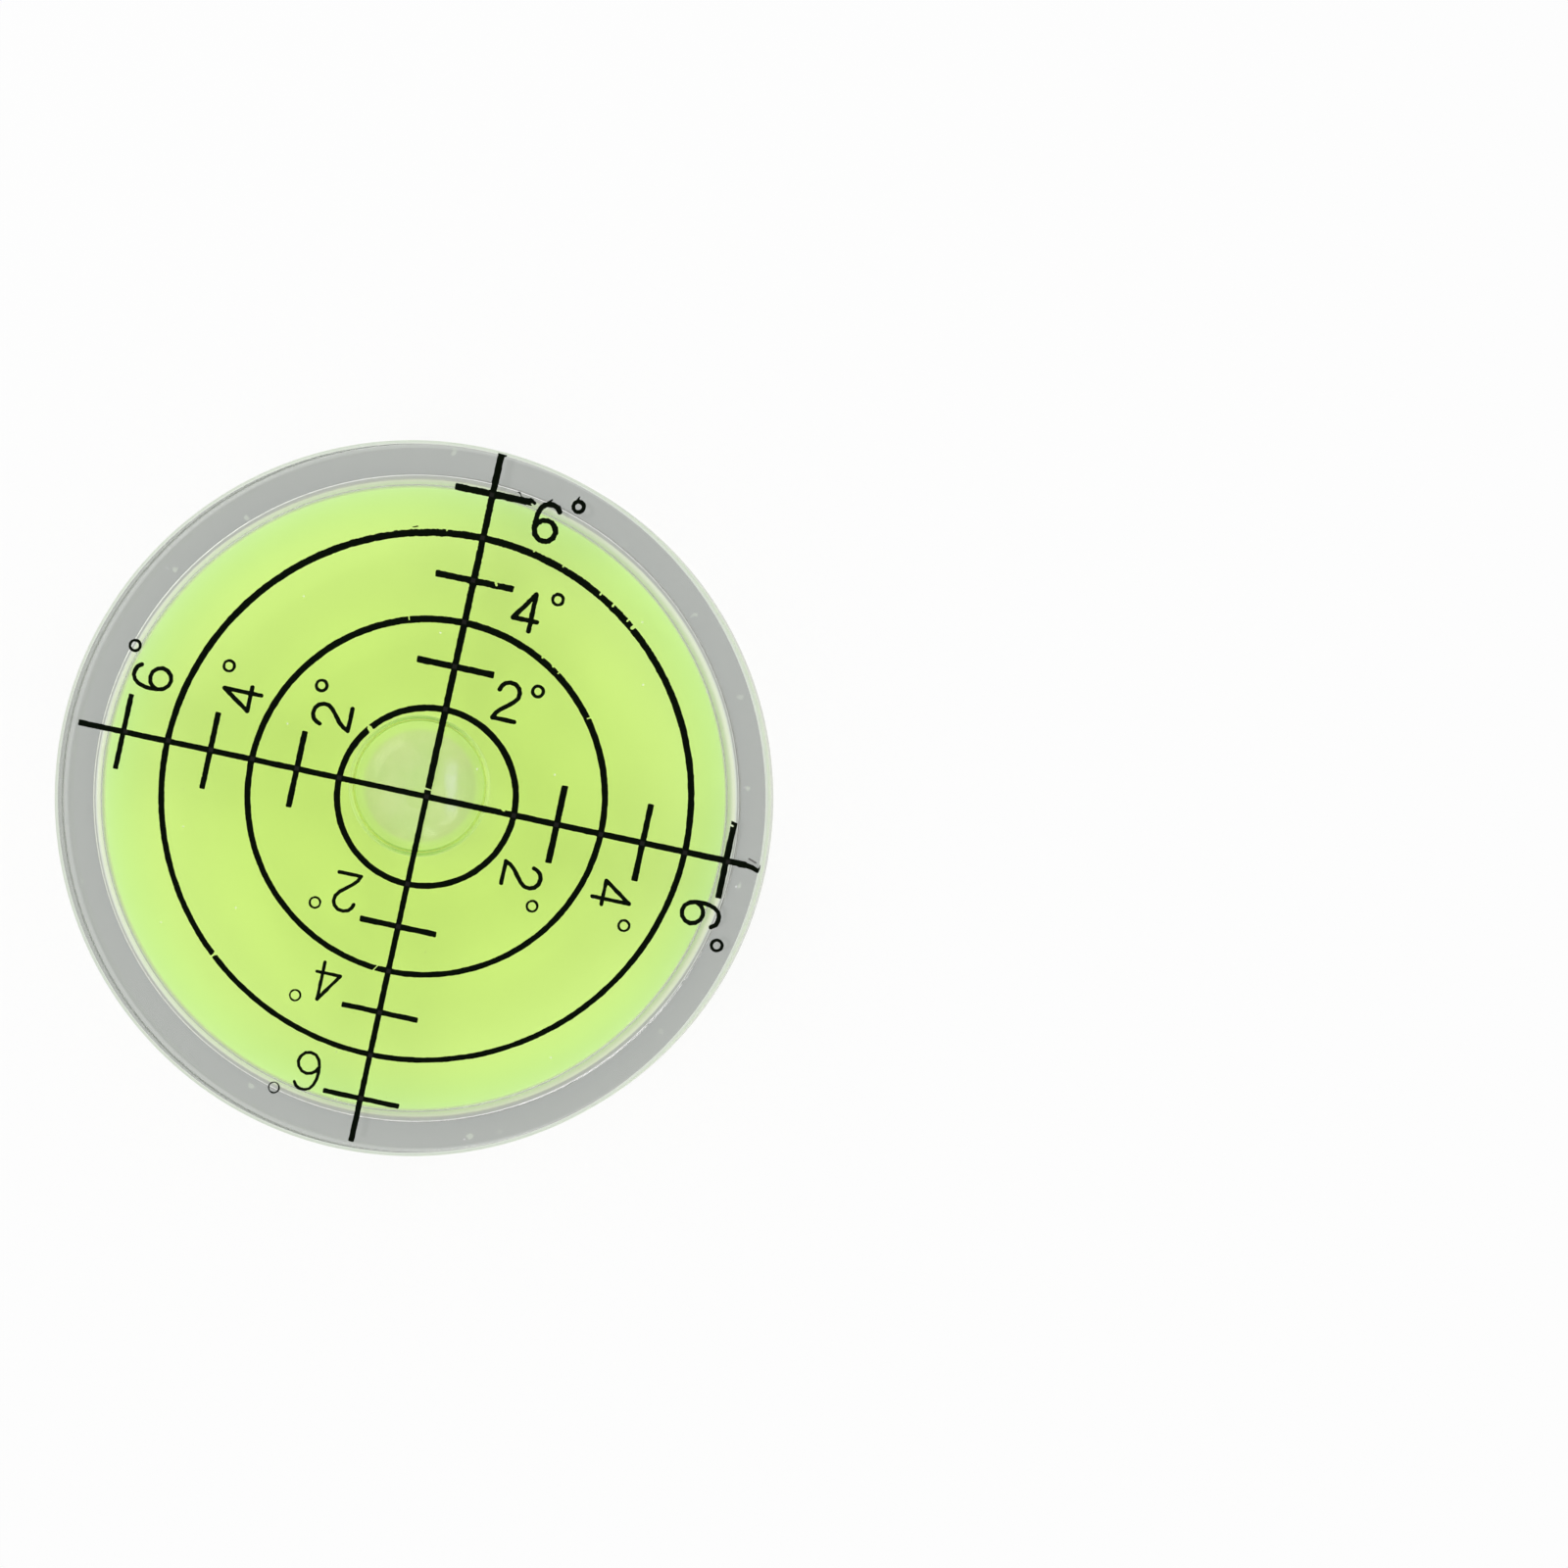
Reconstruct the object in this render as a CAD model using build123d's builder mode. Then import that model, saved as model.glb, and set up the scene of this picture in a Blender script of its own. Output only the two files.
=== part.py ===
"""Bullseye level: a clear cup, green fluid with a bubble, a moulded base plate and a printed dial.

Millimetres. +Z points up through the dial, +X along one arm of the printed cross and +Y along the next.
The origin is the middle of the underside, in the plane of the rim that the level stands on.
"""

import os
from math import sqrt

from build123d import *

# Clear cup
body_diameter = 66.0
body_height = 11.0
outer_edge_round = 0.35
rim_wall = 3.0
ledge_width = 1.0
roof_thickness = 2.4
roof_radius = 233.0
cavity_corner_round = 0.6
mouth_chamfer = 0.1

# White base plate, pressed up into the cup's mouth
plate_recess = 0.4
plate_clearance = 0.05
plate_lead_in = 0.3
web_thickness = 1.1
band_relief = 0.7
edge_margin = 3.4
outer_band_width = 5.6
groove_width = 5.7
inner_band_width = 4.05
boss_diameter = 11.6
filler_hole_diameter = 2.0

# Drop of sealant over the filler hole, off centre and flat on one side
seal_diameter = 8.2
seal_height = 0.25
seal_x = 0.33
seal_y = 0.29
seal_flat_distance = 3.5
seal_flat_angle = 113.0
pin_mark_diameter = 0.7
pin_mark_depth = 0.6

# Bubble, pressed flat against the roof a little off the middle
bubble_diameter = 12.6
bubble_contact_diameter = 11.2
bubble_bottom_diameter = 6.8
bubble_shoulder = 0.7
bubble_depth = 2.8
bubble_x = 0.38
bubble_y = 1.24

# Printed dial, a little off the cup's axis
print_x = 1.3
print_y = 0.42
ink_thickness = 0.05
ink_line_width = 0.56
inner_ring_radius = 8.24
middle_ring_radius = 16.45
outer_ring_radius = 24.4
arm_overrun = 4.03
arm_count = 4
first_tick_radius = 12.25
tick_pitch = 8.11
tick_count = 3
tick_length = 7.15

# Sizes that follow from the ones above
body_radius = body_diameter / 2
seat_radius = body_radius - rim_wall
cavity_radius = seat_radius - ledge_width
web_bottom = plate_recess + band_relief
ledge_height = web_bottom + web_thickness
roof_top = body_height - roof_thickness
roof_centre = roof_top - roof_radius
wall_top = roof_centre + sqrt(roof_radius**2 - cavity_radius**2)
plate_radius = seat_radius - plate_clearance
outer_band_radius = plate_radius - edge_margin
inner_band_radius = outer_band_radius - outer_band_width - groove_width
crest_round = 0.55 * band_relief
root_round = 0.3 * band_relief
bubble_radius = bubble_diameter / 2
bubble_contact_radius = bubble_contact_diameter / 2
bubble_bottom_radius = bubble_bottom_diameter / 2
bubble_equator = roof_top - bubble_shoulder
bubble_bottom = roof_top - bubble_depth
bubble_drop = bubble_equator - bubble_bottom
flat_radius = body_radius - outer_edge_round
arm_length = first_tick_radius + (tick_count - 1) * tick_pitch + arm_overrun
seal_round = 0.9 * seal_height
pin_mark_radius = pin_mark_diameter / 2
pin_tip_radius = pin_mark_radius / 4

os.makedirs("parts", exist_ok=True)

# Half section of the space inside the cup: the base plate's face, the wall and the ground roof
with BuildSketch(Plane.XZ) as cavity_section:
    with BuildLine():
        Polyline((0, roof_top), (0, ledge_height), (cavity_radius, ledge_height), (cavity_radius, wall_top))
        RadiusArc((cavity_radius, wall_top), (0, roof_top), -roof_radius)
    make_face()
    roof_corner = cavity_section.vertices().group_by(Axis.X)[-1].sort_by(Axis.Y)[-1]
    fillet(roof_corner, cavity_corner_round)

# The cup is turned over to be filled, so its mouth is below, with a ledge that seats the base plate
with BuildPart() as vial_body:
    with BuildSketch(Plane.XY):
        Circle(body_radius)
    extrude(amount=body_height)
    fillet(vial_body.edges().filter_by(GeomType.CIRCLE), outer_edge_round)
    revolve(cavity_section.sketch, axis=Axis.Z, mode=Mode.SUBTRACT)
    with BuildSketch(Plane.XY):
        Circle(seat_radius)
    extrude(amount=ledge_height, mode=Mode.SUBTRACT)
    mouth = vial_body.edges().filter_by(GeomType.CIRCLE).group_by(Axis.Z)[0].sort_by(SortBy.RADIUS)[0]
    chamfer(mouth, mouth_chamfer)
vial_body.part.label = "vial_body"
export_step(vial_body.part, "parts/vial_body.step")

# The plate is a thin web with two raised bands and a boss below it, all with soft moulded edges
with BuildPart() as base_plate:
    with BuildSketch(Plane.XY.offset(web_bottom)):
        Circle(plate_radius)
    extrude(amount=web_thickness)
    with BuildSketch(Plane.XY.offset(web_bottom)):
        Circle(outer_band_radius)
        Circle(outer_band_radius - outer_band_width, mode=Mode.SUBTRACT)
        Circle(inner_band_radius)
        Circle(inner_band_radius - inner_band_width, mode=Mode.SUBTRACT)
        Circle(boss_diameter / 2)
    extrude(amount=-band_relief)
    levels = base_plate.edges().filter_by(GeomType.CIRCLE).group_by(Axis.Z)
    crests, roots, face = levels[0], levels[1], levels[-1]
    fillet(crests, crest_round)
    fillet(roots, root_round)
    chamfer(face, plate_lead_in)
    with Locations((0, 0, ledge_height)):
        Hole(filler_hole_diameter / 2)
base_plate.part.label = "base_plate"
export_step(base_plate.part, "parts/base_plate.step")

# The fluid fills the space inside, with a hollow where the bubble presses against the roof
with BuildPart() as level_fluid:
    revolve(cavity_section.sketch, axis=Axis.Z)
    with BuildSketch(Plane((bubble_x, bubble_y, 0), x_dir=(1, 0, 0), z_dir=(0, -1, 0))):
        with BuildLine():
            Polyline(
                (bubble_bottom_radius, bubble_bottom),
                (0, bubble_bottom),
                (0, body_height),
                (bubble_contact_radius, body_height),
                (bubble_contact_radius, roof_top),
            )
            EllipticalCenterArc(
                (bubble_contact_radius, bubble_equator),
                bubble_radius - bubble_contact_radius,
                bubble_shoulder,
                start_angle=0,
                arc_size=90,
            )
            EllipticalCenterArc(
                (bubble_bottom_radius, bubble_equator),
                bubble_radius - bubble_bottom_radius,
                bubble_drop,
                start_angle=-90,
                arc_size=90,
            )
        make_face()
    revolve(axis=Axis((bubble_x, bubble_y, 0), (0, 0, 1)), mode=Mode.SUBTRACT)
level_fluid.part.label = "level_fluid"
export_step(level_fluid.part, "parts/level_fluid.step")

# The sealant fills the hole up to the fluid, and its drop lies on the boss with the mark of a pin
with BuildPart() as filler_seal:
    with BuildSketch(Plane.XY.offset(plate_recess)):
        with Locations((seal_x, seal_y)):
            Circle(seal_diameter / 2)
        with Locations(Location((seal_x, seal_y), seal_flat_angle)):
            with Locations((seal_flat_distance, 0)):
                Rectangle(seal_diameter, seal_diameter, align=(Align.MIN, Align.CENTER), mode=Mode.SUBTRACT)
    extrude(amount=-seal_height)
    fillet(filler_seal.edges().group_by(Axis.Z)[0], seal_round)
    with BuildSketch(Plane.XY.offset(plate_recess)):
        Circle(filler_hole_diameter / 2)
    extrude(amount=ledge_height - plate_recess)
    with Locations((0, 0, plate_recess - seal_height)):
        Cone(
            pin_mark_radius,
            pin_tip_radius,
            pin_mark_depth,
            align=(Align.CENTER, Align.CENTER, Align.MIN),
            mode=Mode.SUBTRACT,
        )
filler_seal.part.label = "filler_seal"
export_step(filler_seal.part, "parts/filler_seal.step")

# The ink is one thin film on the top face: three rings, the cross and its bars, cut off where the face ends
with BuildPart() as reticle_print:
    with BuildSketch(Plane.XY.offset(body_height)):
        with Locations((print_x, print_y)):
            for radius in (outer_ring_radius, middle_ring_radius, inner_ring_radius):
                Circle(radius + ink_line_width / 2)
                Circle(radius - ink_line_width / 2, mode=Mode.SUBTRACT)
            Rectangle(2 * arm_length, ink_line_width)
            Rectangle(ink_line_width, 2 * arm_length)
            for tick in range(tick_count):
                with PolarLocations(first_tick_radius + tick * tick_pitch, arm_count):
                    Rectangle(ink_line_width, tick_length)
        Circle(flat_radius, mode=Mode.INTERSECT)
    extrude(amount=ink_thickness)
reticle_print.part.label = "reticle_print"
export_step(reticle_print.part, "parts/reticle_print.step")
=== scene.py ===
"""Looks of the bullseye level.

A clear cup with green fluid, a bubble and a white plate in it, the worn print of its dial, the studio and
the camera. Metres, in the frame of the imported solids: +Z is up through the dial, and +X lies along the arm of
the cross that points to the right in the photograph. Named lengths are in millimetres, except the studio's.
"""

import math

import bmesh
import bpy
import numpy as np
from mathutils import Matrix, Vector
from mathutils.geometry import delaunay_2d_cdt


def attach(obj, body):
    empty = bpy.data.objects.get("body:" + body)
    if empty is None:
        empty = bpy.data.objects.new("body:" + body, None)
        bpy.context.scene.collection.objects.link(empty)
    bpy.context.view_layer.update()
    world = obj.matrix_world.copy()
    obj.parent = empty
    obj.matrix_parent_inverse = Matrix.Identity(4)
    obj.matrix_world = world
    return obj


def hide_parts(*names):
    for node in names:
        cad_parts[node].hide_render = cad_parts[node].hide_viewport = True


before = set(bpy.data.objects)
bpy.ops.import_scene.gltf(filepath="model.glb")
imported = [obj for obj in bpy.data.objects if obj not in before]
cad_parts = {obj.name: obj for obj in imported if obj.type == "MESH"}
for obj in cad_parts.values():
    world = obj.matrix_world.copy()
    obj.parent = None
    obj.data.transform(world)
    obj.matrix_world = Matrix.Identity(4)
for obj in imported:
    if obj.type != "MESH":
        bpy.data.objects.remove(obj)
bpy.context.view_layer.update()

MM = 0.001

# Height of the top face
TOP = 11.0

# The camera's place and aim, from the middle of the top face: picture right, picture up, and height above it.
# The picture's right is turned by the roll from +X, and the width is the picture's at the aim
SHOT_ROLL = math.radians(12.23)
SHOT_PLACE = (67.6, 0.0, 933.0)
SHOT_AIM = (34.373, 1.302, 0.0)
SHOT_WIDTH = 144.31
SENSOR = 36.0

# The studio, in metres: the floor, how much of it is plain white where it is seen, the light from all round,
# and each lamp's name, place and power
FLOOR_WIDTH = 6.0
FLOOR_DROP = 0.00005
FLOOR_WHITENESS = 0.75
FILL_STRENGTH = 0.68
LAMP_WIDTH = 0.5
LAMPS = (("key_softbox", (-0.35, 0.32, 0.9), 2.7), ("fill_softbox", (0.42, -0.3, 0.9), 1.9))

# Colours, each linear. A pair is blended from one to the other by a texture or a place
BLACK = (0, 0, 0, 1)
WHITE = (1, 1, 1, 1)
FLOOR_GREY = (0.9, 0.9, 0.9, 1)
ACRYLIC_CLEAR = (0.985, 0.99, 0.985, 1)
# Painted shade at the cup's foot, and lighter painted shade near its outer rim
ACRYLIC_FOOT_SHADE = ((0.165, 0.18, 0.163, 1), (0.185, 0.202, 0.182, 1))
ACRYLIC_FOOT_RIM_SHADE = (0.27, 0.29, 0.265, 1)
ACRYLIC_FLECK = (0.3, 0.35, 0.27, 1)
# A painted highlight on the cup's rounded top edge
ACRYLIC_TOP_EDGE_HIGHLIGHT = (0.85, 0.92, 0.8, 1)
# Painted shade on the cup's outer wall
ACRYLIC_OUTER_WALL_SHADE = (0.55, 0.6, 0.5, 1)
# Painted shade on the cup's wall beside the plate
ACRYLIC_MOUTH_SHADE = (0.3, 0.31, 0.28, 1)
FLUID_SURFACE = ((0.98, 1.0, 0.95, 1), (1.0, 1.0, 0.98, 1))
BUBBLE_HAZE = ((0.89, 0.91, 0.84, 1), (0.97, 0.93, 0.96, 1))
BUBBLE_SHOULDER = (0.93, 0.98, 0.8, 1)
# Painted highlight and painted shade on the bubble's outline
BUBBLE_RIM_HIGHLIGHT_AND_SHADE = ((0.36, 0.6, 0.12, 1), (0.8, 1.0, 0.35, 1))
# A painted reflection of a lamp in the bubble
BUBBLE_PAINTED_REFLECTION = (0.95, 0.97, 0.93, 1)
# Painted green light on the plate's underside, paler towards its edge
PLATE_UNDER_GREEN_GLOW = ((0.735, 0.785, 0.675, 1), (0.78, 0.825, 0.715, 1))
PLATE_UNDER_EDGE_GLOW = (0.775, 0.83, 0.75, 1)
PLATE_SMEAR = (0.72, 0.78, 0.36, 1)
PLATE_SPECK = (0.12, 0.12, 0.09, 1)
PLATE_WET = ((0.72, 0.93, 0.74, 1), (0.655, 0.915, 0.7, 1))
# Painted shade on the plate just outside the fluid's edge
PLATE_FLUID_EDGE_SHADE = (0.53, 0.65, 0.45, 1)
PLATE_OUTSIDE = ((0.6, 0.67, 0.55, 1), (0.77, 0.83, 0.71, 1))
# Painted shade round the rim of the plate's upper side
PLATE_RIM_SHADE = (0.43, 0.45, 0.41, 1)
SEALANT = ((0.73, 0.76, 0.56, 1), (0.79, 0.81, 0.65, 1))
SEALANT_WET = (0.7, 0.92, 0.66, 1)
INK = ((0.0005, 0.002, 0.0004, 1), (0.003, 0.005, 0.002, 1))
INK_CROSSED = (0.014, 0.014, 0.012, 1)
INK_SMEARED = (0.16, 0.16, 0.15, 1)
# What the fluid lets through, and how strongly it takes the rest out of light, per metre
FLUID_TINT = (0.887, 0.962, 0.0, 1)
FLUID_DENSITY = 106.0

# Where the print's middle lies on the top face, and how askew it is: to each coordinate of a place in the
# print, this share of the other one is added
PRINT_CENTRE = (1.349, 0.438)
PRINT_SKEW = (0.0025, 0.003)
# How far from the middle of the top face the ink ends
PRINT_LIMIT = 32.8
INK_THICKNESS = 0.049

# The grid in which the print is drawn: how far it reaches from the print's middle, and its step
PRINT_REACH = 34.0
PRINT_CELL = 0.06
# How far a point may lie off the straight piece that leaves it out, and how many points such a piece may span
OUTLINE_SLACK = 0.004
OUTLINE_STEPS = 24
# An outline with no more points than this is left out, before and after points are dropped
SPECK_POINTS = 5
SLIVER_POINTS = 3

# Lines are wider towards the top of the dial, by this much for each millimetre
INK_GAIN = 0.0035
# Each ring's radius and how far its middle lies off. They are a little oval, by these shares of the radius
RINGS = ((8.232, -0.008, -0.028), (16.448, -0.04, -0.035), (24.386, -0.058, 0.019))
RING_OVAL = (0.0016, 0.0013)
LINE_WIDTH = 0.59
SIGN_RADIUS = 0.49
SIGN_SIDES = 32
# The radius of a bar's corners, how far round a bar the grid is changed, and where an arm starts
BAR_ROUND = 0.1
BAR_MARGIN = 0.5
ARM_START = -0.2

# How far out along the cross two lines lie on each other: in the middle, and at the rings and bars
CROSSINGS = (0.0, 8.24, 12.26, 16.46, 20.37, 24.4, 28.45)
# Where the ink is smeared and thin: a place and a radius
THIN_INK = ((30.65, 0.72), 0.55)

# The ink's uneven edge: grid steps between random values, how large they are, and a seed. The upper part of
# the dial has more of it, which comes in from one height over the next millimetres
EDGE_WEAR = ((9, 0.022, 3), (3, 0.016, 5))
UPPER_WEAR = (2, 0.035, 7)
UPPER_WEAR_FROM = 12.0
UPPER_WEAR_OVER = 10.0

# The arms, anticlockwise from +X. Places are to the right of an arm and out along it, looking outwards.
# A bar is (out, width, left end, right end), a numeral is (digit, right, out, stroke), and a degree sign is
# (right, out, stroke)
ARMS = (
    {
        "turn": 0,
        "end": 30.2,
        "width": 0.59,
        "bars": ((12.285, 0.61, -3.655, 3.635), (20.385, 0.58, -3.65, 3.6), (28.265, 0.59, -3.585, 3.545)),
        "numerals": (("2", 5.3, 10.17, 0.39), ("4", 5.25, 18.64, 0.38), ("6", 5.31, 27.0, 0.41)),
        "signs": ((7.84, 11.68, 0.22), (7.82, 20.33, 0.23), (7.81, 29.08, 0.3)),
    },
    {
        "turn": 90,
        "end": 32.45,
        "width": 0.64,
        "bars": ((12.245, 0.63, -3.58, 3.71), (20.345, 0.61, -3.6, 3.75), (28.525, 0.66, -3.54, 3.83)),
        "numerals": (("2", 5.39, 10.15, 0.43), ("4", 5.41, 18.59, 0.46), ("6", 5.43, 26.97, 0.5)),
        "signs": ((7.97, 11.61, 0.32), (7.955, 20.27, 0.3), (7.99, 29.03, 0.39)),
    },
    {
        "turn": 180,
        "end": 32.9,
        "width": 0.55,
        "bars": ((12.25, 0.55, -3.625, 3.585), (20.435, 0.53, -3.64, 3.61), (28.65, 0.5, -3.535, 3.575)),
        "numerals": (("2", 5.41, 10.145, 0.4), ("4", 5.39, 18.64, 0.41), ("6", 5.48, 27.08, 0.39)),
        "signs": ((7.99, 11.65, 0.3), (7.98, 20.39, 0.27), (8.01, 29.29, 0.26)),
    },
    {
        "turn": 270,
        "end": 32.55,
        "width": 0.54,
        "bars": ((12.255, 0.55, -3.61, 3.62), (20.34, 0.5, -3.63, 3.56), (28.47, 0.47, -3.65, 3.54)),
        "numerals": (("2", 5.335, 10.2, 0.33), ("4", 5.36, 18.63, 0.32), ("6", 5.34, 27.03, 0.28)),
        "signs": ((7.975, 11.7, 0.2), (7.935, 20.44, 0.17), (8.03, 29.17, 0.13)),
    },
)

# Where ink has come off: two ends and a width, in the print's own coordinates
NICKS = (
    ((-6.48, 5.08), (-6.15, 4.75), 0.42),
    ((-6.72, 5.34), (-6.48, 5.08), 0.17),
    ((7.1, 0.33), (7.25, 0.27), 0.26),
    ((-0.2, 0.7), (0.2, 0.66), 0.1),
    ((-1.42, -16.72), (-0.99, -16.05), 0.09),
    ((-5.16, 15.92), (-5.05, 15.6), 0.1),
    ((7.76, 14.86), (7.71, 14.76), 0.2),
    ((8.9, 14.24), (8.84, 14.17), 0.22),
    ((9.54, 13.78), (9.42, 13.6), 0.1),
    ((13.28, 10.3), (12.96, 10.12), 0.12),
    ((-3.44, 24.55), (-3.42, 24.36), 0.12),
    ((4.87, 24.27), (4.85, 24.16), 0.18),
    ((7.8, 23.42), (7.77, 23.32), 0.14),
    ((11.76, 21.7), (11.67, 21.53), 0.18),
    ((13.12, 20.93), (13.02, 20.74), 0.2),
    ((14.72, 19.82), (14.62, 19.66), 0.16),
    ((15.5, 19.45), (15.2, 19.15), 0.32),
    ((-15.78, -18.0), (-15.95, -18.22), 0.34),
    ((-15.9, -18.15), (-16.24, -18.54), 0.17),
    ((-20.78, -2.45), (-20.7, -2.46), 0.13),
    ((27.95, 3.3), (28.18, 3.24), 0.16),
    ((2.04, 20.56), (2.14, 20.4), 0.22),
    ((3.72, 28.38), (3.84, 28.34), 0.14),
    ((2.12, 28.98), (2.36, 28.96), 0.16),
    ((29.0, -0.38), (29.35, -0.36), 0.16),
)

# Where there is ink too much, in the same form
BLOTS = (
    ((-22.78, 9.5), (-22.68, 9.46), 0.16),
    ((29.5, -0.18), (30.0, -0.16), 0.34),
    ((30.05, -0.01), (30.7, -0.1), 0.5),
    ((30.7, -0.1), (31.2, -0.28), 0.46),
    ((31.3, -0.44), (31.46, 0.2), 0.19),
    ((28.0, 3.62), (28.3, 3.55), 0.16),
    ((30.3, 0.6), (30.95, 0.38), 0.2),
    ((1.95, 29.0), (2.15, 29.2), 0.11),
    ((2.15, 29.2), (2.42, 29.17), 0.11),
    ((2.42, 29.17), (2.62, 28.9), 0.11),
    ((2.9, 28.62), (3.9, 28.5), 0.42),
    ((3.5, 28.85), (3.75, 28.8), 0.16),
    ((4.75, 28.3), (5.05, 28.6), 0.3),
    ((5.2, 28.9), (5.5, 29.16), 0.13),
    ((7.7, 29.6), (7.88, 29.9), 0.16),
    ((7.55, 28.72), (7.75, 28.5), 0.2),
    ((8.3, 28.55), (8.5, 28.8), 0.16),
    ((-0.1, 32.3), (0.3, 32.35), 0.5),
    ((-6.88, 23.98), (-6.7, 24.04), 0.07),
    ((-6.6, 24.02), (-6.1, 24.2), 0.08),
    ((-8.1, 23.35), (-7.9, 23.4), 0.12),
    ((-12.9, 21.0), (-12.7, 21.12), 0.1),
)

# Centre lines of the numerals' strokes, right and up from the middle of each
STROKES = {
    "2": (
        (
            (-0.9, 0.94), (-0.78, 1.28), (-0.5, 1.6), (-0.05, 1.74), (0.45, 1.66),
            (0.83, 1.36), (0.99, 0.93), (0.93, 0.45), (0.62, 0.02), (0.12, -0.4),
            (-0.42, -0.83), (-0.8, -1.26), (-1.03, -1.74), (1.05, -1.74),
        ),
    ),
    "4": (
        ((0.52, -1.74), (0.52, 1.74), (-1.15, -0.77), (1.09, -0.77)),
    ),
    "6": (
        (
            (0.96, 1.2), (0.7, 1.58), (0.3, 1.73), (-0.1, 1.74), (-0.52, 1.56), (-0.83, 1.14),
            (-1.0, 0.6), (-1.06, 0.0), (-1.03, -0.6), (-0.85, -1.2), (-0.5, -1.6), (0.02, -1.74),
            (0.5, -1.62), (0.86, -1.24), (1.0, -0.77), (0.86, -0.28), (0.5, 0.1), (0.02, 0.22),
            (-0.45, 0.12), (-0.8, -0.16), (-1.0, -0.6),
        ),
    ),
}

# The clear cup, as the solids have it
BODY_RADIUS = 33.0
EDGE_ROUND = 0.35
SEAT_RADIUS = 30.0
MOUTH_CHAMFER = 0.1
LEDGE = 2.2
CAVITY_RADIUS = 29.0
CORNER_ROUND = 0.6
ROOF_TOP = 8.6
ROOF_RADIUS = 233.0
ROOF_CENTRE = ROOF_TOP - ROOF_RADIUS

# The bubble: its middle, its widest radius and the height of that, the radii of its top and of its flat
# underside, and how far that underside lies below the widest part
BUBBLE_CENTRE = (0.38, 1.24)
BUBBLE_RADIUS = 6.3
BUBBLE_EQUATOR = 7.9
BUBBLE_TOP_RADIUS = 5.6
BUBBLE_FLAT_RADIUS = 3.4
BUBBLE_DROP = 2.1

# How far the fluid bites into the cup and the plate, the cup stays clear of the plate, and the bubble stays
# clear of the roof
FLUID_BITE = 0.02
CUP_GAP = 0.004
BUBBLE_FILM = 0.01

# How finely the turned pieces are cut, round their axis and along each curve
TURNS = 288
BUBBLE_TURNS = 128
EDGE_STEPS = 8
ROOF_STEPS = 24
CORNER_STEPS = 10
UNDERSIDE_STEPS = 24
SHOULDER_STEPS = 12
# A bend sharper than this stays an edge
SHARP_BEND = math.radians(25)


def add(tree, kind, inputs=None, **settings):
    """A shader node. An input is a value, or a socket to link to it."""
    made = tree.nodes.new("ShaderNode" + kind)
    for key, value in settings.items():
        setattr(made, key, value)
    for key, value in (inputs or {}).items():
        if isinstance(value, bpy.types.NodeSocket):
            tree.links.new(value, made.inputs[key])
        else:
            made.inputs[key].default_value = value
    return made


def calc(tree, operation, *values):
    """A Math node's output."""
    return add(tree, "Math", dict(enumerate(values)), operation=operation).outputs[0]


def product(tree, first, *others):
    """The product of two or more values."""
    for other in others:
        first = calc(tree, "MULTIPLY", first, other)
    return first


def gap(tree, a, b):
    """How far one value is from another, either way."""
    return calc(tree, "ABSOLUTE", calc(tree, "SUBTRACT", a, b))


def blend_colour(tree, factor, a, b):
    """A Mix node's output, from colour a to colour b."""
    return add(tree, "Mix", {0: factor, 6: a, 7: b}, data_type="RGBA", blend_type="MIX").outputs[2]


def ramp(tree, value, low, high, to_low=0.0, to_high=1.0):
    """Value from low to high as a smooth step from to_low to to_high."""
    made = add(
        tree,
        "MapRange",
        {"Value": value, "From Min": low, "From Max": high, "To Min": to_low, "To Max": to_high},
        interpolation_type="SMOOTHSTEP",
    )
    return made.outputs[0]


def zone(tree, length, low, high, to_low=0.0, to_high=1.0):
    """The same for a length, between two lengths in millimetres."""
    return ramp(tree, length, low * MM, high * MM, to_low, to_high)


def texture_noise(tree, place, scale, detail=3.0):
    """A Noise Texture's value over the object, for a scale in cycles per metre."""
    made = add(tree, "TexNoise", {"Vector": place, "Scale": scale, "Detail": detail, "Roughness": 0.5})
    return made.outputs[0]


def texture_dots(tree, place, scale):
    """The outputs of a flat Voronoi texture over the object, for a scale in cells per metre."""
    return add(tree, "TexVoronoi", {"Vector": place, "Scale": scale}, voronoi_dimensions="2D").outputs


def bumps(tree, height, strength, distance):
    """The normal for this texture as a relief, its depth in millimetres."""
    return add(tree, "Bump", {"Strength": strength, "Distance": distance * MM, "Height": height}).outputs[0]


def parts_of(tree, vector):
    """A vector's X, Y and Z."""
    return add(tree, "SeparateXYZ", {0: vector}).outputs


def seen_from(tree, place, x, y):
    """A place's coordinates from a point x and y millimetres away from the origin."""
    return add(tree, "VectorMath", {0: place, 1: (x * MM, y * MM, 0.0)}, operation="SUBTRACT").outputs[0]


def distance_from_axis(tree, place):
    """How far a place is from the upright axis through the origin."""
    flat = add(tree, "VectorMath", {0: place, 1: (1.0, 1.0, 0.0)}, operation="MULTIPLY").outputs[0]
    return add(tree, "VectorMath", {0: flat}, operation="LENGTH").outputs["Value"]


def picture_axes(tree, place):
    """A place's parts to the right and up in the photograph."""
    made = add(tree, "VectorRotate", {"Vector": place, "Angle": -SHOT_ROLL}, rotation_type="Z_AXIS")
    parts = parts_of(tree, made.outputs[0])
    return parts["X"], parts["Y"]


def sidewardness(tree, right, out):
    """0 straight above or below a middle in the photograph, 1 beside it."""
    return calc(tree, "POWER", calc(tree, "DIVIDE", right, out), 2.0)


def emptied(owner):
    """The node tree of a material or a world, without any nodes."""
    owner.use_nodes = True
    owner.node_tree.nodes.clear()
    return owner.node_tree


def new_material(name):
    """An empty node material, its tree, and the object's own coordinates in it."""
    made = bpy.data.materials.new(name)
    tree = emptied(made)
    return made, tree, add(tree, "TexCoord").outputs["Object"]


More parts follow.
